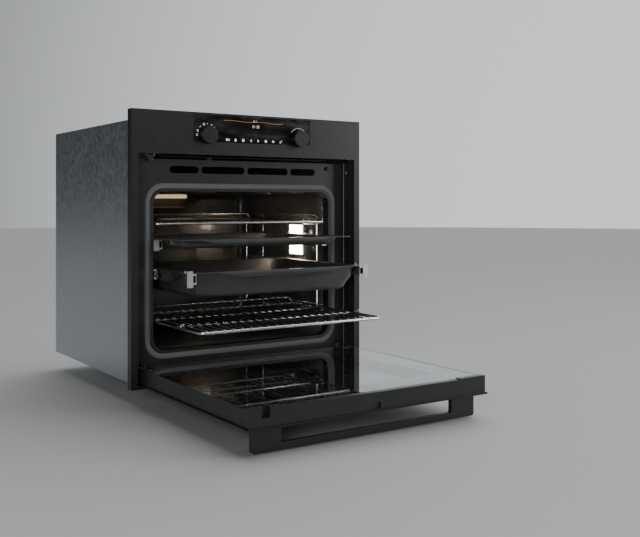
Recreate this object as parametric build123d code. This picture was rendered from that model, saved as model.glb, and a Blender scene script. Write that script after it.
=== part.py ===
from build123d import *
import os

# Built-in single oven, 600 mm niche, drop-down door drawn open at 90 degrees.
# Drawn with X across (0 on the middle plane), Y back into the wall from the front
# face and Z up from the front frame's lower edge. save() then moves every piece to
# the part's own frame, whose origin is the middle of the casing's underside.

# ---- driving dimensions, mm ----
FRONT_W = 595.0            # front frame, width and height
FRONT_T = 20.0             # front face to the seat against the cabinet
CASING_W = 556.0
CASING_H = 572.0
CASING_D = 546.0           # behind the seat
CASING_LIFT = 4.0          # casing underside above the frame's lower edge
CASING_SHEET = 1.0
OPEN_HALF = 281.7          # door opening in the front frame
OPEN_TOP = 501.6
SILL_TOP = 4.5
FACE_Y = 40.0              # face plate that the gasket sits on
SHEET = 1.5                # cavity and recess sheet

HINGE_Y = 14.0             # door hinge line
HINGE_Z = 21.2
DOOR_OUT = -462.8          # upper edge of the open door's outer panel
DOOR_BACK = 21.5           # lower edge of the open door
DOOR_LOW = 7.2             # outer face of the open door
DOOR_HIGH = 43.5           # inner face of the open door
PANEL_HALF = 279.5
BODY_HALF = 275.0
PANEL_T = 4.0

MOUTH_HALF = 231.0         # cavity mouth
MOUTH_LOW = 71.5
MOUTH_HIGH = 420.5
CAV_HALF = 240.0           # cavity inside
CAV_LOW = 63.5
CAV_HIGH = 431.0
CAV_FRONT = 62.0
CAV_BACK = 488.0
COVER_Y = 450.0            # front of the fan cover
FAN_Z = 258.0

KNOB_X = 119.5
KNOB_Z = 545.3
KNOB_R = 19.5
KNOB_OUT = 16.0

RACK_HALF = 228.3
RACK_DEPTH = 372.0
TOP_RACK_Z = 349.0
TOP_RACK_FRONT = 38.0
LOW_RACK_Z = 135.5
LOW_RACK_FRONT = -184.0    # pulled out by 245
TRAY_Z = 317.0             # rim height
TRAY_FRONT = -70.0         # pulled out by 111
PAN_Z = 252.0              # rim height
PAN_FRONT = -128.0         # pulled out by 169, on its rails
PAN_OUT = 169.0
DISH_DEPTH = 370.0         # tray and pan, front to back
WIRE_X = 228.5             # level wires of the side racks
WIRE_R = 2.25
LEVELS = (129.7, 179.7, 229.6, 293.0, 343.2)
LEVEL_GAP = 12.8           # lower to upper wire of one level
RAIL_LEN = 385.0
RAIL_FRONT = 45.0
RAIL_H = 22.0
RAIL_X = ((222.9, 226.1), (219.5, 222.6), (207.0, 219.2))   # outer, middle, inner

MOUNT_Z = (120.0, 470.0)   # screw holes in the recess sides
MOUNT_Y = 26.0
MOUNT_HOLE_R = 2.5
GLASS_LOW = 530.8          # control glass
GLASS_HIGH = 591.0
GLASS_HALF = 152.0
SLOTS = ((-192, -121), (-114.5, -4), (4, 114.5), (121, 192))   # air slots in the face plate
PLUNGER = 228.0, 479.0     # door switch, across and up
OUTLET_HALF = 220.0        # cooling air outlet
OUTLET_RIB = 1.6
GASKET_FRONT = 36.7
LOCK_X = -240.0            # door lock
LOCK_PIN_Y = 35.0
LOCK_PIN_Z = 498.8
LOCK_PIN_R = 1.2
LAMP_Y = 193.0             # middle of the side lamp
LAMP_Z = 300.0
VENT = 172.0, 261.0        # round steam vent in the fan cover, across and up
COVER_HOLE = 4.4           # square holes of the fan cover
HOLE_PITCH = 10.0
HEATER_R = 3.25            # tube heaters
RING_LEGS = (-84.0, -70.0)
RING_LEG_DROP = 60.0       # legs of the ring heater below the fan's middle
GRILL_Z = 421.5
RACK_UPRIGHTS = (92.0, 360.0, 452.0)
UPRIGHT_X = 233.0
UPRIGHT_R = 2.5
RACK_WIRES = 22            # thin wires of a shelf
BLOWER_Y = 330.0
SHAFT_R = 3.0              # shafts and hinge pins
SHAFT_HOLE_R = 3.06
HINGE_X = 256.0            # middle of a hinge arm
LATCH_Y = 44.0             # pin of the hinge latch
LATCH_Z = 38.0
HANDLE_TOP = -444.0        # handle, towards the door's free edge
HANDLE_DEEP = 9.5


def save(name, *solids):
    """Write one node, moved from the drawing frame to the part's frame."""
    move = Pos(0, -(FRONT_T + CASING_D / 2), -CASING_LIFT)
    placed = [move * solid for piece in solids for solid in piece.solids()]
    shape = placed[0] if len(placed) == 1 else Compound(placed)
    export_step(shape, f"parts/{name}.step")


def block(x, y, z):
    """Box from a (low, high) pair along each axis."""
    size = [span[1] - span[0] for span in (x, y, z)]
    middle = [(span[1] + span[0]) / 2 for span in (x, y, z)]
    return Pos(*middle) * Box(*size)


def mirrored(shape):
    return mirror(shape, Plane.YZ)


def upright(sketch, y0, y1):
    """Stand a sketch up, so its Y becomes Z, and fill it from y0 back to y1."""
    return Pos(0, y1, 0) * Rot(90, 0, 0) * extrude(sketch, y1 - y0)


def rounded(half, low, high, radius):
    return Pos(0, (low + high) / 2) * RectangleRounded(2 * half, high - low, radius)


def rod(start, end, radius):
    start = Vector(*start)
    along = Vector(*end) - start
    base = Align.CENTER, Align.CENTER, Align.MIN
    return Plane(origin=start, z_dir=along) * Cylinder(radius, along.length, align=base)


def bent_rod(points, bend, radius):
    path = FilletPolyline(*points, radius=bend)
    return sweep(Plane(origin=path @ 0, z_dir=path % 0) * Circle(radius), path=path)


# ---- front ----

def front_frame():
    edge = FRONT_W / 2
    wall = 2.0
    frame = block((-edge, edge), (0, FRONT_T), (0, FRONT_W))
    hollow = block((-edge + wall, edge - wall), (wall, FRONT_T + 1), (wall, FRONT_W - wall))
    inward = 11.0
    opening = upright(rounded(OPEN_HALF, -40, OPEN_TOP, 6), -1, FRONT_T + 1)
    opening &= block((-edge, edge), (-1, FRONT_T + 1), (SILL_TOP, FRONT_W))
    lip = upright(rounded(OPEN_HALF + SHEET, -40, OPEN_TOP + SHEET, 7), wall, inward)
    lip &= block((-edge + wall, edge - wall), (0, inward), (SILL_TOP - SHEET, FRONT_W))
    gap = 0.3
    window = block((-GLASS_HALF - gap, GLASS_HALF + gap), (-1, 3), (GLASS_LOW - gap, GLASS_HIGH + gap))
    return frame - hollow + lip - opening - window


def control_glass():
    glass = block((-GLASS_HALF, GLASS_HALF), (0, 4), (GLASS_LOW, GLASS_HIGH))
    for side in (-1, 1):
        glass -= rod((side * KNOB_X, -1, KNOB_Z), (side * KNOB_X, 5, KNOB_Z), 5)
    return fillet(glass.edges().filter_by(Axis.Y).group_by(Axis.X)[0], 0.6)


def display_module():
    board = block((-95, 95), (7.5, 9), (524, 588))
    screen = block((-70, 70), (4.2, 7.5), (548, 586))
    keys = block((-78, 78), (4.2, 7.5), (531, 545))
    return board + screen + keys


def encoder(side):
    body = block((-12, 12), (5, 18), (-12, 12))
    bore = rod((0, 4, 0), (0, 16, 0), SHAFT_HOLE_R)
    return Pos(side * KNOB_X, 0, KNOB_Z) * (body - bore)


def knob(side):
    grip = rod((0, -KNOB_OUT, 0), (0, -1.6, 0), KNOB_R)
    grip = fillet(grip.edges().group_by(Axis.Y)[0], 1.2)
    skirt = rod((0, -1.6, 0), (0, -0.5, 0), KNOB_R - 1.5)
    shaft = rod((0, -1, 0), (0, 14, 0), SHAFT_R)
    pointer = block((-0.9, 0.9), (-KNOB_OUT - 1, -KNOB_OUT + 0.7), (KNOB_R - 8, KNOB_R + 1))
    return Pos(side * KNOB_X, 0, KNOB_Z) * (grip + skirt + shaft - pointer)


def recess_side():
    """Stepped side of the door recess, from the frame's return back to the face plate."""
    web = block((276.5, 278), (11, FACE_Y), (SILL_TOP + SHEET, OPEN_TOP))
    step = block((278, 283.2), (11, 11 + SHEET), (SILL_TOP + SHEET, OPEN_TOP))
    screw_holes = [rod((270, MOUNT_Y, z), (290, MOUNT_Y, z), MOUNT_HOLE_R) for z in MOUNT_Z]
    return web + step - screw_holes


def face_plate():
    outline = rounded(276.5, 6.2, 492, 1)
    outline -= rounded(MOUTH_HALF + 8, MOUTH_LOW - 7, MOUTH_HIGH + 6.8, 37)
    for low, high in SLOTS:
        outline -= Pos((low + high) / 2, 469.3) * SlotOverall(high - low, 16)
    outline -= Pos(*PLUNGER) * Circle(4.6)
    plate = upright(outline, FACE_Y, FACE_Y + SHEET)
    for side in (-1, 1):
        plate -= block((side * HINGE_X - 7, side * HINGE_X + 7), (30, 50), (10, 48))
    return plate


def air_outlet():
    """Outlet profile of the cooling air, under the fascia and above the shut door."""
    back = FACE_Y + 4
    roof = block((-OUTLET_HALF, OUTLET_HALF), (14, back), (503.4, 504.9))
    floor = block((-OUTLET_HALF, OUTLET_HALF), (30, back), (497.2, 498.7))
    pitch = (2 * OUTLET_HALF - OUTLET_RIB) / 6
    starts = [-OUTLET_HALF + n * pitch for n in range(7)]
    ribs = [block((x, x + OUTLET_RIB), (32, back), (498.7, 503.4)) for x in starts]
    return roof + floor + ribs


def door_gasket():
    ring = rounded(MOUTH_HALF + 19.5, MOUTH_LOW - 18, MOUTH_HIGH + 18, 44)
    ring -= rounded(MOUTH_HALF + 8.3, MOUTH_LOW - 6.8, MOUTH_HIGH + 6.8, 33)
    rope = upright(ring, GASKET_FRONT, FACE_Y)
    return fillet(rope.edges().group_by(Axis.Y)[0], 2.5)


def lock_rod(half, radius):
    return rod((LOCK_X - half, LOCK_PIN_Y, LOCK_PIN_Z), (LOCK_X + half, LOCK_PIN_Y, LOCK_PIN_Z), radius)


def lock_bracket():
    plate = block((LOCK_X - 12, LOCK_X + 12), (27, FACE_Y + 2), (OPEN_TOP, OPEN_TOP + SHEET))
    cheeks = [block((x, x + SHEET), (31, 39), (496.2, OPEN_TOP)) for x in (LOCK_X - 9, LOCK_X + 7.5)]
    return plate + cheeks + lock_rod(8, LOCK_PIN_R)


def lock_hook():
    """Hook on a round eye, so that it swings clear of the bracket's plate."""
    wide = LOCK_X - 6, LOCK_X + 6
    arm = block(wide, (LOCK_PIN_Y - 2.4, LOCK_PIN_Y + 2.4), (487, LOCK_PIN_Z))
    tip = block(wide, (27, LOCK_PIN_Y - 2.4), (487, 490))
    return arm + lock_rod(6, 2.4) + tip - lock_rod(10, LOCK_PIN_R + 0.06)


def switch_plunger():
    across, up = PLUNGER
    pin = rod((across, 34, up), (across, 50, up), 4.5)
    return fillet(pin.edges().group_by(Axis.Y)[0], 1.0)


# ---- cavity ----

def cavity_mouth():
    inner = rounded(MOUTH_HALF, MOUTH_LOW, MOUTH_HIGH, 29)
    flange = rounded(MOUTH_HALF + 7.7, MOUTH_LOW - 6.4, MOUTH_HIGH + 6.2, 36)
    lip = upright(flange - inner, 38.5, FACE_Y + SHEET)
    lip = fillet(lip.edges().group_by(Axis.Y)[0], 1.4)
    ring = rounded(CAV_HALF + SHEET, CAV_LOW - SHEET, CAV_HIGH + SHEET, 30) - inner
    return lip + upright(ring, FACE_Y + SHEET, CAV_FRONT)


def cavity_side():
    height = CAV_LOW - SHEET, CAV_HIGH + SHEET
    wall = block((CAV_HALF, CAV_HALF + SHEET), (CAV_FRONT, CAV_BACK), height)
    for z in (LEVELS[0], LEVELS[4]):
        wall += block((CAV_HALF - 1.2, CAV_HALF), (84, 462), (z + 24, z + 32))
    return wall


def lamp_window(x0, x1, half_y, half_z):
    return block((x0, x1), (LAMP_Y - half_y, LAMP_Y + half_y), (LAMP_Z - half_z, LAMP_Z + half_z))


def cavity_sides():
    right = cavity_side() - lamp_window(230, 250, 34, 43)
    return mirrored(cavity_side()), right


def cavity_roof():
    return block((-CAV_HALF, CAV_HALF), (CAV_FRONT, CAV_BACK), (CAV_HIGH, CAV_HIGH + SHEET))


def cavity_floor():
    return block((-CAV_HALF, CAV_HALF), (CAV_FRONT, CAV_BACK), (CAV_LOW - SHEET, CAV_LOW))


def cavity_back():
    width = -CAV_HALF - SHEET, CAV_HALF + SHEET
    height = CAV_LOW - SHEET, CAV_HIGH + SHEET
    sheet = block(width, (CAV_BACK, CAV_BACK + SHEET), height)
    holes = [(0, FAN_Z, 6)]
    holes += [(x, FAN_Z - RING_LEG_DROP, HEATER_R + 0.75) for x in RING_LEGS]
    holes += [(x, GRILL_Z, HEATER_R + 0.75) for x in (-30, 30)]
    return sheet - [rod((x, 480, z), (x, 495, z), radius) for x, z, radius in holes]


def cover_outline(inset):
    """Fan cover outline, with its upper edge stepped down in the middle."""
    half = 206 - inset
    low = 84 + inset
    high = 409 - inset
    dip = 385 - inset
    corners = [(-half, low), (half, low), (half, high), (88 - inset, high), (56 - inset, dip)]
    corners += [(-56 + inset, dip), (-88 + inset, high), (-half, high)]
    return make_face(FilletPolyline(*corners, radius=14 - inset, close=True).edges())


def perforations(inside):
    """Square holes set cornerwise on a diagonal grid, wherever inside(x, z) is true."""
    spots = []
    for row in range(-20, 21):
        for column in range(-24, 25):
            x = column * HOLE_PITCH
            z = FAN_Z + row * HOLE_PITCH / 2
            if row % 2:
                x += HOLE_PITCH / 2
            if inside(abs(x), z):
                spots.append((x, z))
    return [Pos(x, z) * Rot(0, 0, 45) * Rectangle(COVER_HOLE, COVER_HOLE) for x, z in spots]


def in_cover_holes(x, z):
    reach = abs(z - FAN_Z)
    octagon = x < 74 and reach < 74 and x + reach < 100
    return octagon or (108 < x < 190 and (364 < z < 396 or 112 < z < 142))


def fan_cover():
    wall = 1.0
    skirt = cover_outline(0) - cover_outline(wall)
    face = cover_outline(0) - perforations(in_cover_holes) - Pos(*VENT) * Circle(15)
    return upright(skirt, COVER_Y, CAV_BACK) + upright(face, COVER_Y, COVER_Y + wall)


def round_vent():
    disc = Circle(17) - [Pos(0, z) * SlotOverall(22, 3) for z in (-8, 0, 8)]
    rim = upright(Pos(*VENT) * disc, COVER_Y - 1.5, COVER_Y)
    neck = upright(Pos(*VENT) * (Circle(14.8) - Circle(13.2)), COVER_Y, COVER_Y + 6)
    return rim + neck


def fan_blade():
    hub = rod((0, 460, 0), (0, 480, 0), 9)
    disc = rod((0, 478, 0), (0, 479.5, 0), 72)
    blade = block((26, 70), (458, 478), (-0.8, 0.8))
    blades = [Rot(0, 45 * n, 0) * blade for n in range(8)]
    shaft = rod((0, 470, 0), (0, 530, 0), SHAFT_R)
    return Pos(0, 0, FAN_Z) * (hub + disc + blades + shaft)


def fan_motor():
    can = rod((0, 500, FAN_Z), (0, 545, FAN_Z), 36)
    neck = rod((0, 492, FAN_Z), (0, 500, FAN_Z), 12)
    return can + neck - rod((0, 490, FAN_Z), (0, 534, FAN_Z), SHAFT_HOLE_R)


def ring_heater():
    """Ring round the fan, with two legs out through the back."""
    y = 468
    low = FAN_Z - RING_LEG_DROP
    ring = Pos(0, y, FAN_Z) * Rot(90, 0, 0) * Torus(92, HEATER_R)
    legs = [rod((x, y, low), (x, 500, low), HEATER_R) for x in RING_LEGS]
    bridge = rod((-84, y, low), (-62, y, low - 8), HEATER_R)
    return ring + legs + bridge


def grill_element():
    """One tube led to and fro under the roof, both ends out through the back."""
    half = [(30, 498), (30, 410), (200, 410), (200, 90), (150, 90)]
    half += [(150, 350), (100, 350), (100, 90), (50, 90), (50, 300)]
    points = half + [(-x, y) for x, y in reversed(half)]
    return bent_rod([(x, y, GRILL_Z) for x, y in points], 18, HEATER_R)


def base_heater():
    half = [(60, 498), (60, 430), (180, 430), (180, 120), (90, 120), (90, 370)]
    points = half + [(-x, y) for x, y in reversed(half)]
    return bent_rod([(x, y, CAV_LOW - 8) for x, y in points], 24, HEATER_R)


def side_lamp_frame():
    return lamp_window(234.5, CAV_HALF, 46, 48) - lamp_window(230, 250, 29, 38)


def side_lamp_glass():
    pane = lamp_window(232, 237, 28.6, 37.6)
    return fillet(pane.edges().group_by(Axis.X)[0], 1.5)


def side_lamp_bulb():
    bulb = rod((252, LAMP_Y, LAMP_Z - 14), (252, LAMP_Y, LAMP_Z + 16), 6.5)
    bulb = fillet(bulb.edges().group_by(Axis.Z)[-1], 5)
    holder = block((244, 260), (LAMP_Y - 9, LAMP_Y + 9), (LAMP_Z - 34, LAMP_Z - 14))
    return bulb, holder


def rear_lamp():
    lens = block((-48, 48), (456, CAV_BACK), (408, 417.8))
    return fillet(lens.edges().group_by(Axis.Y)[0], 1.5)


# ---- side racks, rails and shelves ----

def side_rack():
    """Welded wire ladder that hangs on a side wall, drawn for the right wall."""
    low, high = 118, 366
    front, back = RACK_UPRIGHTS[0], RACK_UPRIGHTS[-1]
    wires = [rod((UPRIGHT_X, y, low), (UPRIGHT_X, y, high), UPRIGHT_R) for y in RACK_UPRIGHTS]
    for z in (low, high):
        wires.append(rod((UPRIGHT_X, front, z), (UPRIGHT_X, back, z), UPRIGHT_R))
        wires += [Pos(UPRIGHT_X, y, z) * Sphere(UPRIGHT_R) for y in (front, back)]
    for level in LEVELS:
        for z in (level, level + LEVEL_GAP):
            wires.append(rod((WIRE_X, 66, z), (WIRE_X, 456, z), WIRE_R))
            wires.append(Pos(WIRE_X, 66, z) * Sphere(WIRE_R))
    return Part() + wires


def side_rack_right():
    """The right one is open in front of the lamp."""
    return side_rack() - lamp_window(226, 236, 47, 49)


def rack_nuts():
    nuts = []
    for side in (-1, 1):
        for y in (97.3, 457.3):
            stem = rod((side * 230, y, 279), (side * CAV_HALF, y, 279), 2.5)
            nuts.append(stem + rod((side * 225, y, 279), (side * 230.4, y, 279), 5.5))
        nuts.append(rod((side * 236, 75, 382), (side * CAV_HALF, 75, 382), 4.5))
    return nuts


def rail(x0, x1, front, low):
    """One member of a telescopic rail, a C section open towards the cavity wall."""
    bar = block((x0, x1), (front, front + RAIL_LEN), (low, low + RAIL_H))
    groove = block((x0 + 1.2, x1 + 1), (front - 1, front + RAIL_LEN + 1), (low + 4, low + RAIL_H - 4))
    return bar - groove


def inner_rail(front, low, clip_low, clip_high, pins):
    """Inner member, with its end clip and, on a pan rail, the pins beside the pan's rim."""
    member = rail(*RAIL_X[2], front, low)
    clip = block((215.2, 228.4), (front - 2, front), (clip_low, clip_high))
    clip = fillet(clip.edges().filter_by(Axis.Y), 1.5)
    top = low + RAIL_H
    return member + clip + [rod((217.2, front + y, top - 1), (217.2, front + y, top + 5), 1.7) for y in pins]


def pair(shape):
    return mirrored(shape), shape


def wire_rack(z, front):
    """Grid of thin wires on a thick wire frame, with a raised guard at the back."""
    half = RACK_HALF - 3
    back = front + RACK_DEPTH - 3
    corners = [(-half, front + 3), (half, front + 3), (half, back), (-half, back)]
    loop = FilletPolyline(*[(x, y, z) for x, y in corners], radius=14, close=True)
    section = Plane(origin=(0, front + 3, z), z_dir=(1, 0, 0)) * Circle(3)
    pieces = [sweep(section, path=Wire(sort_from_middle(loop)))]
    for y in (front + 125, front + 250):
        pieces.append(rod((-half, y, z), (half, y, z), 2.5))
    margin = 12
    pitch = 2 * (half - margin) / (RACK_WIRES - 1)
    for n in range(RACK_WIRES):
        x = -half + margin + n * pitch
        pieces.append(rod((x, front + 0.8, z + 3.9), (x, back + 1, z + 3.9), 1.6))
    side = half - 9
    guard = [(-side, back, z), (-side, back, z + 18), (side, back, z + 18), (side, back, z)]
    pieces.append(bent_rod(guard, 12, 2.5))
    return Part() + pieces


def sort_from_middle(loop):
    """Edges of a closed loop, starting from a seam at the middle of the front run."""
    edges = loop.edges()
    front = edges.sort_by(Axis.Y)[0]
    others = [edge for edge in edges if edge is not front]
    middle = front @ 0.5
    return [Line(middle, front @ 1)] + others + [Line(front @ 0, middle)]


def dish(half, front, depth, rim_z, fall, wall_half, slope):
    """Pressed sheet dish: flat rim, sloping walls and a flat bottom."""
    sheet = 1.2
    edge = half - wall_half
    middle = front + depth / 2
    rim = Pos(0, middle, rim_z) * RectangleRounded(2 * half, depth, 16)
    plan = RectangleRounded(2 * wall_half, depth - 2 * edge, 30)
    hole = RectangleRounded(2 * (wall_half - sheet), depth - 2 * edge - 2 * sheet, 29)
    outer = extrude(Pos(0, middle, rim_z) * plan, -fall, taper=slope)
    inner = extrude(Pos(0, middle, rim_z) * hole, -(fall - sheet), taper=slope)
    return extrude(rim, -sheet) + outer - inner


def lip(front, rim_z, top_half, low_half, drop):
    """Turned-down front edge, deep in the middle and fading towards the corners."""
    top = rim_z - 1
    low = rim_z - drop
    corners = [(-top_half, top), (-low_half, low), (low_half, low), (top_half, top)]
    return upright(make_face(Polyline(*corners, close=True)), front, front + 1.2)


def baking_tray():
    tray = dish(227, TRAY_FRONT, DISH_DEPTH, TRAY_Z, 20, 204, 20)
    return tray + lip(TRAY_FRONT, TRAY_Z, 178, 125, 15)


def deep_pan():
    pan = dish(214.8, PAN_FRONT, DISH_DEPTH, PAN_Z, 55, 205, 16)
    return pan + lip(PAN_FRONT, PAN_Z, 165, 115, 14.5)


# ---- casing and what is in it ----

def casing_side():
    edge = CASING_W / 2
    height = CASING_LIFT, CASING_LIFT + CASING_H
    side = block((edge - CASING_SHEET, edge), (FRONT_T, FRONT_T + CASING_D), height)
    return side - block((270, 280), (0, FACE_Y), (0, OPEN_TOP))


def casing_top():
    """Lid, with a row of slots over the blower."""
    edge = CASING_W / 2 - CASING_SHEET
    back = FRONT_T + CASING_D - CASING_SHEET
    high = CASING_LIFT + CASING_H
    lid = block((-edge, edge), (FRONT_T, back), (high - 1.2, high))
    return lid - [block((x, x + 6), (300, 360), (570, 580)) for x in range(-60, 61, 12)]


def casing_back():
    """Back sheet with louvres, and an opening for the terminal block."""
    edge = CASING_W / 2 - CASING_SHEET
    back = FRONT_T + CASING_D
    sheet = block((-edge, edge), (back - CASING_SHEET, back), (CASING_LIFT + 1.2, CASING_LIFT + CASING_H))
    louvres = [block((-200, -60), (560, 570), (z, z + 6)) for z in range(470, 551, 14)]
    return sheet - louvres - block((150, 230), (560, 570), (490, 540))


def casing_base():
    edge = CASING_W / 2 - CASING_SHEET
    return block((-edge, edge), (FRONT_T, FRONT_T + CASING_D), (CASING_LIFT, CASING_LIFT + 1.2))


def insulation():
    left = block((-274, -244), (66, 540), (62, 433))
    right = block((244, 274), (66, 540), (62, 433)) - lamp_window(243, 264, 36, 45)
    roof = block((-240, 240), (66, 540), (434, 454))
    back = block((-240, 240), (504, 536), (62, 430)) - rod((0, 500, FAN_Z), (0, 540, FAN_Z), 40)
    return left, right, roof, back


def cooling_wheel():
    disc = Pos(0, BLOWER_Y, 486) * Cylinder(58, 2)
    blade = Pos(0, BLOWER_Y, 498) * Pos(46, 0, 0) * Rot(0, 0, 35) * Box(20, 1.2, 24)
    spin = Pos(0, BLOWER_Y, 0)
    blades = [spin * Rot(0, 0, 15 * n) * spin.inverse() * blade for n in range(24)]
    shaft = rod((0, BLOWER_Y, 485), (0, BLOWER_Y, 540), SHAFT_R)
    return disc + blades + shaft


def blower_housing():
    """Flat duct round the wheel, open to the front, with the motor on top of it."""
    def column(z0, z1, radius):
        return rod((0, BLOWER_Y, z0), (0, BLOWER_Y, z1), radius)

    shell = block((-90, 90), (120, 400), (470, 520))
    shell -= block((-88.5, 88.5), (118, 398.5), (471.5, 518.5))
    shell -= column(510, 530, 30)
    motor = column(528, 562, 28) - column(520, 545, SHAFT_HOLE_R)
    legs = [block((x - 4, x + 4), (BLOWER_Y - 4, BLOWER_Y + 4), (520, 532)) for x in (-38, 38)]
    bridge = block((-42, 42), (BLOWER_Y - 6, BLOWER_Y + 6), (532, 536)) - column(520, 545, 27)
    return shell, motor + legs + bridge


def terminal_block():
    box = block((151, 229), (520, 565.8), (491, 539))
    gland = rod((190, 565.8, 515), (190, 566, 515), 12)
    return box + gland - rod((190, 540, 515), (190, 570, 515), 5.5)


# ---- door, drawn open ----

def door_panel():
    """Outer panel, narrower at the foot where it swings in between the recess sides."""
    depth = DOOR_LOW, DOOR_LOW + PANEL_T
    panel = block((-PANEL_HALF, PANEL_HALF), (DOOR_OUT, 9), depth)
    panel += block((-BODY_HALF, BODY_HALF), (8, DOOR_BACK), depth)
    return chamfer(panel.edges().group_by(Axis.Z)[0], 0.6)


def door_side():
    inside = DOOR_LOW + PANEL_T
    wall = block((BODY_HALF - 1.5, BODY_HALF), (-447, DOOR_BACK), (inside, DOOR_HIGH))
    foot = block((250, BODY_HALF - 1.5), (-447, DOOR_BACK), (inside, inside + 1.5))
    ledge = block((262, BODY_HALF - 1.5), (-447, DOOR_BACK), (36.8, 38.3))
    return wall + foot + ledge


def door_top_rail():
    front = DOOR_OUT + 2.3
    low = DOOR_LOW + PANEL_T
    bar = block((-BODY_HALF, BODY_HALF), (front, -447), (low, DOOR_HIGH))
    for span in ((-BODY_HALF, -208), (208, BODY_HALF)):
        bar += block(span, (front, -447), (DOOR_HIGH, 45.4))
    bar -= block((LOCK_X - 8, LOCK_X + 8), (front - 1, -449), (27, 50))
    return bar - block((-8, 8), (front - 1, front + 4), (13, 24))


def inner_glass():
    return block((-273.2, 273.2), (-446.6, 17), (38.6, DOOR_HIGH)) - [
        block(span, (-14, 20), (30, 50)) for span in ((-264, -248), (248, 264))
    ]


def middle_glass():
    return block((-246, 246), (-440, 6), (22, 26))


def hinge_arm():
    """Arm that hooks into the body and carries the hinge pin."""
    wide = HINGE_X - 2, HINGE_X + 2
    arm = block(wide, (10, 62), (17, 27)) + block(wide, (42, 62), (12, 44))
    receiver = block((HINGE_X - 6.5, HINGE_X + 6.5), (62, 90), (8, 48))
    pin = rod((HINGE_X - 5.5, HINGE_Y, HINGE_Z), (HINGE_X + 5.5, HINGE_Y, HINGE_Z), SHAFT_R)
    return arm + receiver + pin


def hinge_latch():
    """Locking claw that folds over the arm before the door is lifted off."""
    low, high = HINGE_X - 4.8, HINGE_X + 4.8
    claw = block((low, high), (34, 37.5), (45, 47))
    for x in (low, high - 2):
        claw += block((x, x + 2), (34, 46), (36, 47))
    return claw - rod((low - 1, LATCH_Y, LATCH_Z), (high + 1, LATCH_Y, LATCH_Z), 1.56)


def hinge_channel():
    """Steel channel in the door, with ears round the pin and the spring inside it."""
    low = 12.8
    wall = 1.8
    channel = block((HINGE_X - 3.7, HINGE_X + 3.7), (-200, -14), (low, low + wall))
    for x in (HINGE_X - 5.5, HINGE_X + 3.7):
        channel += block((x, x + wall), (-200, 20), (low, 36))
    return channel - rod((240, HINGE_Y, HINGE_Z), (270, HINGE_Y, HINGE_Z), SHAFT_HOLE_R)


def handle():
    """Flat U-shaped grip across the door, its ends screwed through the panel."""
    depth = HANDLE_TOP, HANDLE_TOP + HANDLE_DEEP
    outline = rounded(259, -37, 60, 6) - rounded(199, -24, 60, 1.5)
    return upright(outline, *depth) & block((-260, 260), depth, (-40, DOOR_LOW))


def export_all():
    os.makedirs("parts", exist_ok=True)
    save("front_frame", front_frame())
    save("control_glass", control_glass())
    save("display_module", display_module())
    save("encoders", encoder(-1), encoder(1))
    save("knob_left", knob(-1))
    save("knob_right", knob(1))
    save("recess_sides", *pair(recess_side()))
    save("face_plate", face_plate())
    save("air_outlet", air_outlet())
    save("door_gasket", door_gasket())
    save("lock_bracket", lock_bracket())
    save("lock_hook", lock_hook())
    save("switch_plunger", switch_plunger())

    save("cavity_mouth", cavity_mouth())
    save("cavity_sides", *cavity_sides())
    save("cavity_roof", cavity_roof())
    save("cavity_floor", cavity_floor())
    save("cavity_back", cavity_back())
    save("fan_cover", fan_cover())
    save("round_vent", round_vent())
    save("fan_blade", fan_blade())
    save("fan_motor", fan_motor())
    save("ring_heater", ring_heater())
    save("grill_element", grill_element())
    save("base_heater", base_heater())
    save("side_lamp_frame", side_lamp_frame())
    save("side_lamp_glass", side_lamp_glass())
    save("side_lamp_bulb", *side_lamp_bulb())
    save("rear_lamp", rear_lamp())

    save("side_rack_left", mirrored(side_rack()))
    save("side_rack_right", side_rack_right())
    save("rack_nuts", *rack_nuts())
    pan_low = PAN_Z - 2 - RAIL_H
    tray_low = TRAY_Z - 2 - RAIL_H
    for name, low, out in (("pan", pan_low, PAN_OUT), ("tray", tray_low, 0)):
        save(f"{name}_rails_outer", *pair(rail(*RAIL_X[0], RAIL_FRONT + 2, low)))
        save(f"{name}_rails_middle", *pair(rail(*RAIL_X[1], RAIL_FRONT + 1 - out, low)))
    pan_inner = inner_rail(RAIL_FRONT - PAN_OUT, pan_low, PAN_Z - 30, PAN_Z + 4, (31, 330))
    save("pan_rails_inner", *pair(pan_inner))
    save("tray_rails_inner", *pair(inner_rail(RAIL_FRONT, tray_low, TRAY_Z - 27, TRAY_Z - 3, ())))
    save("top_rack", wire_rack(TOP_RACK_Z, TOP_RACK_FRONT))
    save("bottom_rack", wire_rack(LOW_RACK_Z, LOW_RACK_FRONT))
    save("baking_tray", baking_tray())
    save("deep_pan", deep_pan())

    save("casing_sides", *pair(casing_side()))
    save("casing_top", casing_top())
    save("casing_back", casing_back())
    save("casing_base", casing_base())
    save("insulation", *insulation())
    save("cooling_wheel", cooling_wheel())
    save("blower_housing", *blower_housing())
    save("terminal_block", terminal_block())

    save("door_panel", door_panel())
    save("door_sides", *pair(door_side()))
    save("door_top_rail", door_top_rail())
    save("inner_glass", inner_glass())
    save("middle_glass", middle_glass())
    save("hinge_arms", *pair(hinge_arm()))
    save("hinge_latches", *pair(hinge_latch()))
    save("hinge_channels", *pair(hinge_channel()))
    save("handle", handle())


export_all()
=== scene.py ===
import math

import bmesh
import bpy
from mathutils import Matrix, Vector


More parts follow.
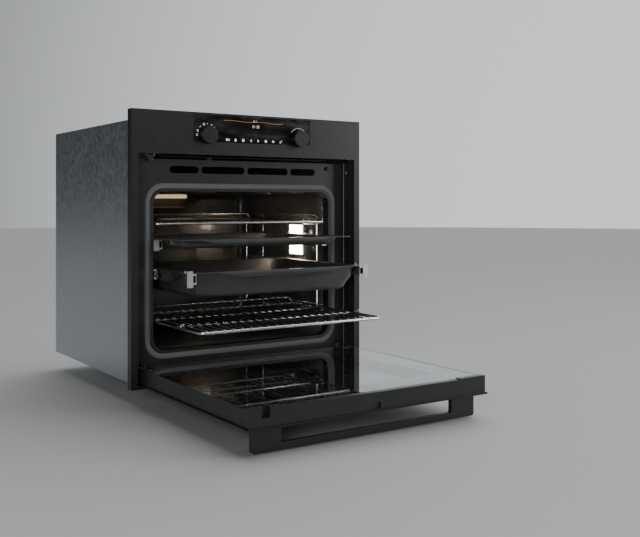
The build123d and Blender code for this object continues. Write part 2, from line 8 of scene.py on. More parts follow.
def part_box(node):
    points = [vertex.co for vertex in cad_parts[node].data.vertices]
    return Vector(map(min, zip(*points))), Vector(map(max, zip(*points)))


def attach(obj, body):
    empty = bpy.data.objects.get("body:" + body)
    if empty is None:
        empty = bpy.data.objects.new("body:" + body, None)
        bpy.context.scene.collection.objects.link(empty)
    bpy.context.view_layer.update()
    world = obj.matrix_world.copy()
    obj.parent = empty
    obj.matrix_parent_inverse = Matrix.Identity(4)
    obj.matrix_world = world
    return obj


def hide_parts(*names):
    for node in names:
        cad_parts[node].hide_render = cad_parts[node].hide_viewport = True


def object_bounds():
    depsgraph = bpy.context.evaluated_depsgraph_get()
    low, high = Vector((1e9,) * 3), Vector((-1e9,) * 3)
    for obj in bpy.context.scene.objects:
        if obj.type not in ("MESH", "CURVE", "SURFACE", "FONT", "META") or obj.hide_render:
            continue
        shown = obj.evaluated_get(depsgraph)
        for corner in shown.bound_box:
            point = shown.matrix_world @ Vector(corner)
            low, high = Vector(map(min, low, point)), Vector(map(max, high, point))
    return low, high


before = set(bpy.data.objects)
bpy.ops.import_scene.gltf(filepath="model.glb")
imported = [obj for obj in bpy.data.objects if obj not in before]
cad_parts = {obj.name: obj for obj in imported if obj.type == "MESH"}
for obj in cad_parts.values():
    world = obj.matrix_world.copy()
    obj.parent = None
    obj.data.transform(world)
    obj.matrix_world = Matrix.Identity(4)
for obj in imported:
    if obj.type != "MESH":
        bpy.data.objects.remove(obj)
CAD_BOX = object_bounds()

# Shapes are drawn in millimetres: X across with 0 in the middle, Y back from the front
# face, Z up from the front frame's lower edge. TO_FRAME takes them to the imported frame.
MM = 0.001
FRAME_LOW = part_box("front_frame")[0]
TO_FRAME = Matrix.Translation((0, FRAME_LOW.y, FRAME_LOW.z)) @ Matrix.Scale(MM, 4)
TO_DRAWING = TO_FRAME.inverted()


def drawn_box(node):
    """(lowest, highest) corner of a CAD node, in the drawing's millimetres."""
    low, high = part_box(node)
    return TO_DRAWING @ low, TO_DRAWING @ high


# ---- finishes ----

class Finish:
    """A Principled material with short ways to add what varies over the surface."""

    def __init__(self, name, colour, rough, metal=0.0, **sockets):
        self.material = bpy.data.materials.new(name)
        self.material.use_nodes = True
        self.tree = self.material.node_tree
        self.shader = self.tree.nodes["Principled BSDF"]
        self.place = self.add("ShaderNodeTexCoord").outputs["Object"]
        self.colour = colour
        self.rough = rough
        self.shader.inputs["Base Color"].default_value = (*colour, 1)
        self.shader.inputs["Roughness"].default_value = rough
        self.shader.inputs["Metallic"].default_value = metal
        for socket, value in sockets.items():
            self.shader.inputs[socket.replace("_", " ")].default_value = value

    def add(self, kind):
        return self.tree.nodes.new(kind)

    def link(self, output, target):
        self.tree.links.new(output, target)

    def stretched(self, stretch):
        mapping = self.add("ShaderNodeMapping")
        mapping.inputs["Scale"].default_value = stretch
        self.link(self.place, mapping.inputs["Vector"])
        return mapping.outputs["Vector"]

    def noise(self, size, detail=3.0, stretch=(1, 1, 1)):
        """Cloudy value with patches of about size millimetres."""
        node = self.add("ShaderNodeTexNoise")
        node.inputs["Scale"].default_value = 1 / (size * MM)
        node.inputs["Detail"].default_value = detail
        self.link(self.stretched(stretch), node.inputs["Vector"])
        return node.outputs["Fac"]

    def cells(self, size, output="Distance", stretch=(1, 1, 1)):
        node = self.add("ShaderNodeTexVoronoi")
        node.inputs["Scale"].default_value = 1 / (size * MM)
        self.link(self.stretched(stretch), node.inputs["Vector"])
        return node.outputs[output]

    def span(self, value, low, high, out_low, out_high):
        """Value from low..high spread over out_low..out_high."""
        node = self.add("ShaderNodeMapRange")
        self.link(value, node.inputs["Value"])
        sockets = "From Min", "From Max", "To Min", "To Max"
        for socket, number in zip(sockets, (low, high, out_low, out_high)):
            node.inputs[socket].default_value = number
        return node.outputs["Result"]

    def mix(self, share, first, second):
        node = self.add("ShaderNodeMix")
        node.data_type = "RGBA"
        self.link(share, node.inputs["Factor"])
        for socket, colour in ((6, first), (7, second)):
            if isinstance(colour, tuple):
                node.inputs[socket].default_value = (*colour, 1)
            else:
                self.link(colour, node.inputs[socket])
        return node.outputs[2]

    def shades(self, amount):
        """The finish's colour, darker and lighter by that share."""
        return [tuple(c * (1 + side * amount) for c in self.colour) for side in (-1, 1)]

    def mottle(self, size, amount, stretch=(1, 1, 1)):
        dark, light = self.shades(amount)
        colour = self.mix(self.span(self.noise(size, 4, stretch), 0.3, 0.7, 0, 1), dark, light)
        self.link(colour, self.shader.inputs["Base Color"])
        return colour

    def uneven_gloss(self, size, amount, stretch=(1, 1, 1)):
        value = self.noise(size, 3, stretch)
        rough = self.span(value, 0.3, 0.7, self.rough - amount, self.rough + amount)
        self.link(rough, self.shader.inputs["Roughness"])

    def relief(self, height, depth):
        """Bumps depth millimetres deep from a 0..1 height."""
        node = self.add("ShaderNodeBump")
        node.inputs["Strength"].default_value = 1.0
        node.inputs["Distance"].default_value = depth * MM
        self.link(height, node.inputs["Height"])
        self.link(node.outputs["Normal"], self.shader.inputs["Normal"])


def powder_coat(name, colour, rough):
    """Satin powder coat with a fine orange-peel skin."""
    made = Finish(name, colour, rough, Specular_IOR_Level=0.5)
    made.mottle(35, 0.08)
    made.uneven_gloss(18, 0.04)
    made.relief(made.noise(1.6, 2), 0.02)
    return made.material


def black_glass(name, colour, rough):
    """Polished dark glass with the faint haze of a wiped surface."""
    made = Finish(name, colour, rough, IOR=1.5)
    made.mottle(60, 0.1)
    made.uneven_gloss(45, rough * 0.6, (1, 1, 3))
    made.relief(made.noise(120, 1), 0.02)
    return made.material


def moulded(name, colour, rough):
    """Matt moulded plastic with a fine spark-eroded grain."""
    made = Finish(name, colour, rough)
    made.mottle(12, 0.1)
    made.uneven_gloss(6, 0.05)
    made.relief(made.noise(0.5, 2), 0.02)
    return made.material


def brushed(name, colour, rough, grain=(1, 1, 1), size=0.6):
    """Brushed or drawn metal, its lines long where grain is small."""
    made = Finish(name, colour, rough, 1.0)
    made.mottle(size * 3, 0.06, grain)
    made.uneven_gloss(size * 2, 0.07, grain)
    made.relief(made.noise(size, 2, grain), 0.004)
    return made.material


def plated(name, colour, rough):
    """Bright plating, with slight waviness from the drawn wire under it."""
    made = Finish(name, colour, rough, 1.0)
    made.mottle(4, 0.04)
    made.uneven_gloss(9, 0.03)
    made.relief(made.noise(5, 2), 0.01)
    return made.material


def galvanised(name, colour, rough):
    """Zinc-coated sheet with its crystal spangle."""
    made = Finish(name, colour, rough, 1.0)
    spangle = made.cells(9, "Color")
    dark, light = made.shades(0.12)
    made.link(made.mix(made.span(spangle, 0, 1, 0, 1), dark, light), made.shader.inputs["Base Color"])
    made.link(made.span(spangle, 0, 1, rough - 0.08, rough + 0.1), made.shader.inputs["Roughness"])
    made.relief(made.noise(30, 2), 0.03)
    return made.material


def vitreous(name, colour, rough, fleck, fleck_size):
    """Fired enamel: glossy, slightly wavy, with fine pale flecks."""
    made = Finish(name, colour, rough, Coat_Weight=0.35, Coat_Roughness=0.12)
    base = made.mottle(25, 0.12)
    spots = made.span(made.cells(fleck_size), 0.10, 0.2, 1, 0)
    made.link(made.mix(spots, base, fleck), made.shader.inputs["Base Color"])
    made.uneven_gloss(14, 0.03)
    made.relief(made.noise(7, 2), 0.006)
    return made.material


def oxidised(name, colour, rough):
    """Heating tube blued and browned by heat."""
    made = Finish(name, colour, rough, 0.8)
    blue = made.mix(made.span(made.noise(28, 3), 0.4, 0.65, 0, 1), colour, (0.12, 0.12, 0.17))
    made.link(blue, made.shader.inputs["Base Color"])
    made.uneven_gloss(10, 0.08)
    made.relief(made.noise(0.8, 2), 0.01)
    return made.material


def braided(name, colour):
    """Glass-fibre braid: dull, with single filaments."""
    made = Finish(name, colour, 0.85, Sheen_Weight=0.3)
    made.mottle(2.2, 0.25)
    made.relief(made.noise(0.35, 3), 0.08)
    return made.material


def wool(name, colour):
    made = Finish(name, colour, 0.95, Sheen_Weight=0.4)
    made.mottle(8, 0.25, (0.4, 0.4, 1.5))
    made.relief(made.noise(1.5, 4, (0.3, 0.3, 1.5)), 0.8)
    return made.material


def circuit_board(name, colour):
    made = Finish(name, colour, 0.35)
    tracks = made.span(made.cells(6, stretch=(1, 1, 2)), 0.28, 0.3, 0, 1)
    made.link(made.mix(tracks, colour, (0.03, 0.09, 0.05)), made.shader.inputs["Base Color"])
    made.relief(made.noise(2, 2), 0.05)
    return made.material


def lit(name, colour, strength, ribs):
    """Lamp glass that glows from behind vertical ribs of that pitch in millimetres."""
    made = Finish(name, (0.8, 0.78, 0.74), 0.25)
    wave = made.add("ShaderNodeTexWave")
    wave.bands_direction = "Y"
    wave.inputs["Scale"].default_value = 1 / (ribs * MM) / math.tau
    made.link(made.place, wave.inputs["Vector"])
    glow = made.mix(wave.outputs["Fac"], tuple(c * 0.8 for c in colour), colour)
    made.link(glow, made.shader.inputs["Emission Color"])
    made.shader.inputs["Emission Strength"].default_value = strength
    made.relief(wave.outputs["Fac"], 0.3)
    return made.material


def printed(name, colour, glow):
    """Screen-printed or back-lit marks."""
    made = Finish(name, colour, 0.5)
    made.mottle(1.5, 0.06)
    made.shader.inputs["Emission Color"].default_value = (*colour, 1)
    made.shader.inputs["Emission Strength"].default_value = glow
    made.relief(made.noise(0.4, 1), 0.005)
    return made.material


def clear_glass(name, tint, index, clear, mirror=0.0):
    """Pane of tinted glass with a trace of wiping on it; mirror is its heat-reflecting coat."""
    made = Finish(name, tint, 0.01, mirror, Transmission_Weight=clear, IOR=index)
    made.mottle(90, 0.03)
    made.link(made.span(made.noise(70, 3), 0.45, 0.8, 0.0, 0.05), made.shader.inputs["Roughness"])
    return made.material


COAT = powder_coat("powder_coat", (0.012, 0.0125, 0.0125), 0.36)
FACE_COAT = powder_coat("face_coat", (0.014, 0.0145, 0.0145), 0.36)
FASCIA_GLASS = black_glass("fascia_glass", (0.004, 0.004, 0.004), 0.22)
PANEL_GLASS = black_glass("panel_glass", (0.005, 0.005, 0.006), 0.06)
KNOB_BLACK = moulded("knob_black", (0.006, 0.006, 0.006), 0.4)
PLASTIC = moulded("dark_plastic", (0.008, 0.008, 0.008), 0.5)
# Zinc sheet darkened to near black: painted shade on the blower housing seen through the cooling slots.
SHADED_DUCT = galvanised("duct_sheet_painted_shade", (0.03, 0.03, 0.031), 0.5)
BOARD = circuit_board("board", (0.01, 0.06, 0.03))
BRIGHT = plated("bright_zinc", (0.72, 0.73, 0.74), 0.18)
CHROME = plated("chrome_wire", (0.80, 0.79, 0.77), 0.24)
PHOSPHATED = powder_coat("phosphated_steel", (0.035, 0.036, 0.038), 0.5)
RAIL = brushed("rail_steel", (0.42, 0.42, 0.43), 0.28, (1, 0.05, 1))
CLIP = brushed("clip_steel", (0.62, 0.61, 0.62), 0.35, (1, 1, 0.08))
LAMP_FRAME = plated("lamp_frame_steel", (0.6, 0.6, 0.6), 0.22)
GASKET = braided("gasket_braid", (0.125, 0.131, 0.134))
LINER = vitreous("cavity_enamel", (0.070, 0.065, 0.059), 0.30, (0.080, 0.075, 0.069), 2.6)
COVER = vitreous("cover_enamel", (0.085, 0.074, 0.062), 0.36, (0.14, 0.13, 0.12), 2.6)
TRAY = vitreous("tray_enamel", (0.048, 0.049, 0.049), 0.36, (0.075, 0.075, 0.075), 1.3)
HEATER = oxidised("heater_tube", (0.16, 0.14, 0.12), 0.4)
ZINC = galvanised("zinc_sheet", (0.5, 0.52, 0.53), 0.35)
WOOL = wool("mineral_wool", (0.5, 0.45, 0.36))
SIDE_LAMP = lit("side_lamp_glass_lit", (1.0, 0.82, 0.60), 30.0, 5.0)
REAR_LAMP = lit("rear_lamp_glass_lit", (1.0, 0.68, 0.38), 0.75, 8.0)
BULB = lit("bulb_lit", (1.0, 0.86, 0.66), 4.0, 50.0)
DOOR_GLASS = clear_glass("door_glass", (0.86, 0.88, 0.89), 1.45, 1.0)
COATED_GLASS = clear_glass("coated_glass", (0.60, 0.62, 0.63), 2.0, 0.90, 0.35)
# Pale grey here is a painted highlight on the dark recess bends, not the sheet's own colour.
PAINTED_EDGE_HIGHLIGHT = powder_coat("painted_edge_highlight", (0.26, 0.265, 0.27), 0.3)
BORDER = black_glass("border_print", (0.004, 0.004, 0.004), 0.2)
WHITE_MARKS = printed("white_marks", (0.80, 0.83, 0.85), 0.7)
AMBER_LINE = printed("amber_line", (0.80, 0.30, 0.05), 0.22)
SCREEN = black_glass("screen_field", (0.007, 0.007, 0.0075), 0.2)
LEVEL_MARKS = printed("level_marks", (0.05, 0.05, 0.05), 0.0)

NODE_FINISH = {
    "front_frame": COAT, "control_glass": FASCIA_GLASS, "display_module": BOARD, "encoders": PLASTIC,
    "knob_left": KNOB_BLACK, "knob_right": KNOB_BLACK, "recess_sides": COAT,
    "face_plate": FACE_COAT, "air_outlet": PLASTIC, "lock_bracket": BRIGHT, "lock_hook": PHOSPHATED,
    "switch_plunger": PLASTIC, "cavity_mouth": FACE_COAT, "round_vent": COVER, "fan_blade": BRIGHT,
    "fan_motor": ZINC, "ring_heater": HEATER, "grill_element": HEATER, "base_heater": HEATER,
    "side_lamp_frame": LAMP_FRAME, "side_lamp_glass": SIDE_LAMP, "side_lamp_bulb": BULB,
    "rear_lamp": REAR_LAMP, "pan_rails_outer": RAIL, "pan_rails_middle": RAIL, "pan_rails_inner": CLIP,
    "tray_rails_outer": RAIL, "tray_rails_middle": RAIL, "tray_rails_inner": CLIP, "casing_sides": ZINC,
    "casing_top": ZINC, "casing_back": ZINC, "casing_base": ZINC, "insulation": WOOL,
    "cooling_wheel": ZINC, "blower_housing": SHADED_DUCT, "terminal_block": PLASTIC, "door_panel": PANEL_GLASS,
    "door_sides": COAT, "door_top_rail": COAT, "inner_glass": DOOR_GLASS, "middle_glass": COATED_GLASS,
    "hinge_arms": PHOSPHATED, "hinge_latches": CHROME, "hinge_channels": PHOSPHATED, "handle": COAT,
}


def finish_nodes():
    for name, material in NODE_FINISH.items():
        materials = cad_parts[name].data.materials
        materials.clear()
        materials.append(material)


# ---- shape tools ----

def piece(name, shape, material, body, stands_for=(), sharp=35):
    """Put a shape drawn in millimetres into the frame, riding on a body."""
    shape.transform(TO_FRAME)
    bmesh.ops.recalc_face_normals(shape, faces=shape.faces)
    mesh = bpy.data.meshes.new(name)
    shape.to_mesh(mesh)
    shape.free()
    mesh.materials.append(material)
    mesh.shade_smooth()
    mesh.set_sharp_from_angle(angle=math.radians(sharp))
    obj = bpy.data.objects.new(name, mesh)
    bpy.context.scene.collection.objects.link(obj)
    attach(obj, body)
    if stands_for:
        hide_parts(*stands_for)
    return obj


def skin(shape, loops, closed=True):
    """Quads between rows of points of equal length; returns the rows of vertices."""
    rows = [[shape.verts.new(point) for point in loop] for loop in loops]
    for low, high in zip(rows, rows[1:]):
        for n in range(len(low) if closed else len(low) - 1):
            m = (n + 1) % len(low)
            shape.faces.new((low[n], low[m], high[m], high[n]))
    return rows


def rounded(x0, x1, z0, z1, radius, steps=8):
    """Points round a rectangle with rounded corners."""
    corners = [(x1 - radius, z0 + radius, -90), (x1 - radius, z1 - radius, 0)]
    corners += [(x0 + radius, z1 - radius, 90), (x0 + radius, z0 + radius, 180)]
    points = []
    for x, z, start in corners:
        for n in range(steps + 1):
            angle = math.radians(start + 90 * n / steps)
            points.append((x + radius * math.cos(angle), z + radius * math.sin(angle)))
    return points


def bent(points, radius, closed=False, steps=6):
    """Path through points with each corner turned in an arc."""
    points = [Vector(point) for point in points]
    path = []
    for n, corner in enumerate(points):
        if not closed and n in (0, len(points) - 1):
            path.append(corner)
            continue
        into = (points[n - 1] - corner).normalized()
        out = (points[(n + 1) % len(points)] - corner).normalized()
        half = into.angle(out) / 2
        centre = corner + (into + out).normalized() * radius / math.sin(half)
        first = corner + into * radius / math.tan(half) - centre
        last = corner + out * radius / math.tan(half) - centre
        turn = math.pi - 2 * half
        for k in range(steps + 1):
            ahead = turn * k / steps
            path.append(centre + (first * math.sin(turn - ahead) + last * math.sin(ahead)) / math.sin(turn))
    return path


def wire(shape, path, radius, closed=False, sides=10):
    """Round wire along a path, with domed ends unless it is closed."""
    path = [Vector(point) for point in path]
    rows = []
    side = None
    for n, point in enumerate(path):
        before = path[n - 1] if closed or n else point
        after = path[(n + 1) % len(path)] if closed or n < len(path) - 1 else point
        along = (after - before).normalized()
        side = along.orthogonal() if side is None else side - along * side.dot(along)
        side.normalize()
        other = along.cross(side)
        turns = [math.tau * k / sides for k in range(sides)]
        rows.append([(point, along, side * math.cos(a) + other * math.sin(a)) for a in turns])
    loops = [[point + out * radius for point, along, out in row] for row in rows]
    if closed:
        loops.append(loops[0])
    else:
        for row, way, at in ((rows[0], -1, 0), (rows[-1], 1, len(loops))):
            cap = [point + along * way * radius * 0.6 + out * radius * 0.6 for point, along, out in row]
            loops.insert(at if way < 0 else len(loops), cap)
    made = skin(shape, loops)
    if not closed:
        shape.faces.new(made[0])
        shape.faces.new(made[-1])


def screw_head(shape, centre, axis, radius, height):
    """Domed head with a cross recess."""
    axis = Vector(axis).normalized()
    side = axis.orthogonal().normalized()
    other = axis.cross(side)
    rings, sectors = 9, 48
    rows = []
    for ring in range(rings + 1):
        reach = radius * ring / rings
        row = []
        for sector in range(sectors):
            angle = math.tau * sector / sectors
            u, v = max(reach, 0.01) * math.cos(angle), max(reach, 0.01) * math.sin(angle)
            rise = height * math.sqrt(max(0.0, 1 - (0.92 * reach / radius) ** 2))
            if min(abs(u), abs(v)) < radius * 0.13 and reach < radius * 0.6:
                rise -= height * 0.55
            row.append(Vector(centre) + side * u + other * v + axis * rise)
        rows.append(row)
    rows.append([point - axis * height * 0.4 for point in rows[-1]])
    made = skin(shape, rows)
    shape.faces.new(made[0])
    shape.faces.new(made[-1])


def add_curve(shape, curve, y0, y1):
    """Add a flat filled curve, stood up in the XZ plane from y0 back to y1."""
    curve.extrude = (y1 - y0) / 2
    holder = bpy.data.objects.new("holder", curve)
    mesh = bpy.data.meshes.new_from_object(holder)
    mesh.transform(Matrix.Translation((0, (y0 + y1) / 2, 0)) @ Matrix.Rotation(math.pi / 2, 4, "X"))
    shape.from_mesh(mesh)
    bpy.data.objects.remove(holder)
    bpy.data.meshes.remove(mesh)


def plate(shape, outlines, y0, y1):
    """Flat sheet from y0 back to y1. Outlines are (x, z) loops; a loop in a loop is a hole."""
    curve = bpy.data.curves.new("plate", "CURVE")
    curve.dimensions = "2D"
    curve.fill_mode = "BOTH"
    for outline in outlines:
        spline = curve.splines.new("POLY")
        spline.points.add(len(outline) - 1)
        for target, (x, z) in zip(spline.points, outline):
            target.co = (x, z, 0, 1)
        spline.use_cyclic_u = True
    add_curve(shape, curve, y0, y1)


def ring_arc(x, z, radius, width, start, end, steps=24):
    """Outline of a piece of a ring, from start to end degrees."""
    outer = []
    inner = []
    for n in range(steps + 1):
        angle = math.radians(start + (end - start) * n / steps)
        outer.append((x + (radius + width / 2) * math.cos(angle), z + (radius + width / 2) * math.sin(angle)))
        inner.append((x + (radius - width / 2) * math.cos(angle), z + (radius - width / 2) * math.sin(angle)))
    return outer + inner[::-1]


def bar(x, z, width, height):
    left, right = x - width / 2, x + width / 2
    low, high = z - height / 2, z + height / 2
    return [(left, low), (right, low), (right, high), (left, high)]


def stroke(points, width):
    """Outline of an open line of that width."""
    left, right = [], []
    for n, point in enumerate(points):
        before = Vector(points[max(n - 1, 0)])
        after = Vector(points[min(n + 1, len(points) - 1)])
        along = (after - before).normalized() * width / 2
        left.append((point[0] - along.y, point[1] + along.x))
        right.append((point[0] + along.y, point[1] - along.x))
    return left + right[::-1]


def circle(x, z, radius, steps=20):
    turns = [math.tau * n / steps for n in range(steps)]
    return [(x + radius * math.cos(turn), z + radius * math.sin(turn)) for turn in turns]


# ---- control panel ----

KNOB_LOW, KNOB_HIGH = drawn_box("knob_left")
KNOB_SPOT = [(KNOB_LOW.x + KNOB_HIGH.x) / 2, (KNOB_LOW.z + KNOB_HIGH.z) / 2]
RIGHT_LOW, RIGHT_HIGH = drawn_box("knob_right")
RIGHT_SPOT = [(RIGHT_LOW.x + RIGHT_HIGH.x) / 2, (RIGHT_LOW.z + RIGHT_HIGH.z) / 2]
MARK = (-0.12, 0.05)       # thickness of printed marks, across the front face


def oven_symbol(x, z, inside):
    """Square frame with what is lit inside it: bars as (x, z, width, height)."""
    marks = [bar(x, z, 4.2, 4.6), bar(x, z, 3.4, 3.8)]
    return marks + [bar(x + dx, z + dz, w, h) for dx, dz, w, h in inside]


def knob_symbols():
    """Function symbols round the left knob and the two arcs round the right one."""
    below = (0, -1.1, 2.4, 0.5)
    above = (0, 1.1, 2.4, 0.5)
    middle = (0, 0, 2.4, 0.9)
    kinds = {180: [below], 159: [above, below], 110: [above, middle, below]}
    strokes = {
        134: ((-1.6, -0.9), (1.6, 0.9)),
        66: ((-2.2, 0.4), (2.2, -0.4)),
        45: ((-1.3, 0.9), (1.3, -0.9)),
    }
    shape = bmesh.new()
    ring = 25.3
    for angle in (*kinds, *strokes):
        x = KNOB_SPOT[0] + ring * math.cos(math.radians(angle))
        z = KNOB_SPOT[1] + ring * math.sin(math.radians(angle))
        if angle in kinds:
            plate(shape, oven_symbol(x, z, kinds[angle]), *MARK)
        else:
            plate(shape, [stroke([(x + dx, z + dz) for dx, dz in strokes[angle]], 0.9)], *MARK)
    for start, end in ((97, 143), (37, 83)):
        plate(shape, [ring_arc(*RIGHT_SPOT, ring, 0.55, start, end)], *MARK)
    for x, z in (KNOB_SPOT, RIGHT_SPOT):
        plate(shape, [circle(x, z + ring, 0.9)], *MARK)
    piece("knob_symbols", shape, WHITE_MARKS, "root")


def touch_symbols():
    """Eight touch keys in a row under the display."""
    z = 537.0
    xs = [-68.7 + 19.77 * n for n in range(8)]
    shape = bmesh.new()
    plate(shape, [bar(xs[0] - 2.4, z, 4.2, 5.0), bar(xs[0] - 2.4, z, 2.6, 1.2)], *MARK)
    plate(shape, [bar(xs[0] + 3.2, z, 3.6, 3.6), bar(xs[0] + 3.2, z, 1.6, 1.6)], *MARK)
    flame = ((0, 4), (2.6, 0), (1.8, -3), (-1.8, -3), (-2.6, 0))
    plate(shape, [[(xs[1] + dx, z + dz) for dx, dz in flame]], *MARK)
    shelves = [bar(xs[2], z + dz, 3.6, 0.8) for dz in (1.2, -1.2)]
    plate(shape, [bar(xs[2], z, 5.4, 6.0)] + shelves, *MARK)
    plate(shape, [[(xs[3] + 1.9, z + 3.2), (xs[3] - 2.2, z), (xs[3] + 1.9, z - 3.2)]], *MARK)
    plate(shape, [[(xs[4] - 1.9, z + 3.2), (xs[4] + 2.2, z), (xs[4] - 1.9, z - 3.2)]], *MARK)
    plate(shape, [circle(xs[5], z, 3.0), circle(xs[5], z, 1.3)], *MARK)
    plate(shape, [ring_arc(xs[6], z - 0.6, 2.2, 1.4, -10, 190, 12)], *MARK)
    plate(shape, [bar(xs[6], z - 1.6, 6.0, 1.0)], *MARK)
    plate(shape, [stroke([(xs[7] - 3.4, z), (xs[7] - 1.0, z - 2.8), (xs[7] + 3.8, z + 3.4)], 1.3)], *MARK)
    piece("touch_symbols", shape, WHITE_MARKS, "root")


SEGMENTS = {
    "top": (0, 1, 1, 0.22), "middle": (0, 0, 1, 0.22), "bottom": (0, -1, 1, 0.22),
    "left_up": (-0.5, 0.5, 0.22, 1), "right_up": (0.5, 0.5, 0.22, 1),
    "left_down": (-0.5, -0.5, 0.22, 1), "right_down": (0.5, -0.5, 0.22, 1),
}
DIGITS = {
    "0": ("top", "bottom", "left_up", "right_up", "left_down", "right_down"),
    "1": ("right_up", "right_down"),
    "2": ("top", "middle", "bottom", "right_up", "left_down"),
    "3": ("top", "middle", "bottom", "right_up", "right_down"),
}


def digits(shape, text, x, z, size):
    """Row of seven-segment figures, a colon being two dots."""
    step = size * 0.95
    at = x - step * (len(text) - 1) / 2
    for sign in text:
        if sign == ":":
            for side in (-0.3, 0.3):
                plate(shape, [bar(at, z + side * size, size * 0.16, size * 0.16)], *MARK)
        for name in DIGITS.get(sign, ()):
            dx, dz, width, height = SEGMENTS[name]
            spot = at + dx * size * 0.6, z + dz * size * 0.6
            plate(shape, [bar(*spot, width * size * 0.6, height * size * 0.6)], *MARK)
        at += step


def display():
    shape = bmesh.new()
    plate(shape, [rounded(-78, 78, 549, 577, 1.5, 3)], -0.05, 0.05)
    piece("display_field", shape, SCREEN, "root")
    shape = bmesh.new()
    digits(shape, "12:30", 2.5, 569.2, 4.4)
    digits(shape, "20 0", 1.5, 581.3, 2.6)
    piece("display_figures", shape, WHITE_MARKS, "root")
    shape = bmesh.new()
    steps = 60
    wave = []
    for n in range(steps + 1):
        x = -78 + 155 * n / steps
        wave.append((x, 580 - 1.6 * n / steps + 0.9 * math.sin(4 * math.pi * n / steps)))
    plate(shape, [stroke(wave, 0.65)], *MARK)
    piece("display_line", shape, AMBER_LINE, "root")


# ---- face of the oven behind the door ----

def gasket():
    """Braided rope seal: two sets of strands that cross all the way round."""
    low, high = drawn_box("door_gasket")
    width, proud = 11.2, high.y - low.y
    inner = rounded(low.x + width / 2, high.x - width / 2, low.z + width / 2, high.z - width / 2, 38.5, 40)
    path = [Vector((x, 0, z)) for x, z in inner]
    total = sum((path[n - 1] - path[n]).length for n in range(len(path)))
    count = 2200
    spots = resampled(path, count)
    turns = round(total / 5.2)
    sides = 18
    loops = []
    for n, spot in enumerate(spots):
        along = (spots[(n + 1) % count] - spots[n - 1]).normalized()
        out = Vector((along.z, 0, -along.x))
        phase = math.tau * turns * n / count
        loop = []
        for k in range(sides):
            angle = math.tau * k / sides
            weave = 1 + 0.09 * math.cos(3 * angle + phase) * math.cos(3 * angle - phase)
            across = width / 2 * math.cos(angle) * weave
            forward = (proud - 0.25) * math.sin(angle) * weave
            loop.append(spot + out * across + Vector((0, high.y - max(forward, -0.5), 0)))
        loops.append(loop)
    shape = bmesh.new()
    skin(shape, loops + [loops[0]])
    bmesh.ops.remove_doubles(shape, verts=shape.verts, dist=0.001)
    piece("gasket_braid", shape, GASKET, "root", ["door_gasket"], sharp=80)


def resampled(path, count):
    """Points at equal steps round a closed path."""
    lengths = [(path[(n + 1) % len(path)] - path[n]).length for n in range(len(path))]
    step = sum(lengths) / count
    points = []
    run, edge = 0.0, 0
    for n in range(count):
        target = n * step
        while edge < len(path) - 1 and run + lengths[edge] < target:
            run += lengths[edge]
            edge += 1
        share = (target - run) / max(lengths[edge], 1e-9)
        points.append(path[edge].lerp(path[(edge + 1) % len(path)], min(share, 1.0)))
    return points


def level_numbers():
    """Shelf level numbers on the face plate, both sides."""
    face = drawn_box("face_plate")[0].y
    shape = bmesh.new()
    for number, z in enumerate((143, 182, 256, 300, 343), 1):
        for side in (-1, 1):
            text = bpy.data.curves.new("number", "FONT")
            text.body = str(number)
            text.size = 9
            text.align_x = "CENTER"
            text.align_y = "CENTER"
            part = bmesh.new()
            add_curve(part, text, face - 0.08, face + 0.02)
            part.transform(Matrix.Translation((side * 262, 0, z)))
            holder = bpy.data.meshes.new("number")
            part.to_mesh(holder)
            part.free()
            shape.from_mesh(holder)
            bpy.data.meshes.remove(holder)
    piece("level_numbers", shape, LEVEL_MARKS, "root")


def visible_screws():
    """Flat heads of the mounting screws in the recess sides."""
    shape = bmesh.new()
    for side in (-1, 1):
        for z in (120, 470):
            screw_head(shape, (side * 276.4, 26, z), (-side, 0, 0), 4.2, 1.0)
    piece("recess_screws", shape, BRIGHT, "root")


def recess_edges():
    """Folded sheet edges behind the frame's lip and in the corner by the face plate, coloured pale grey as a
    painted highlight on the bends.
    """
    shape = bmesh.new()
    for side in (-1, 1):
        for x, y, radius in ((281.3, 13.2, 1.5), (276.2, 37.2, 0.9)):
            wire(shape, [(side * x, y, 16), (side * x, y, 494)], radius)
    piece("recess_edges", shape, PAINTED_EDGE_HIGHLIGHT, "root")


# ---- cavity ----

LINER_FRONT = drawn_box("cavity_sides")[0].y
LINER_END = drawn_box("cavity_back")[0].y
LAMP_LOW, LAMP_HIGH = drawn_box("side_lamp_frame")
FAN_Z = (drawn_box("fan_blade")[0].z + drawn_box("fan_blade")[1].z) / 2


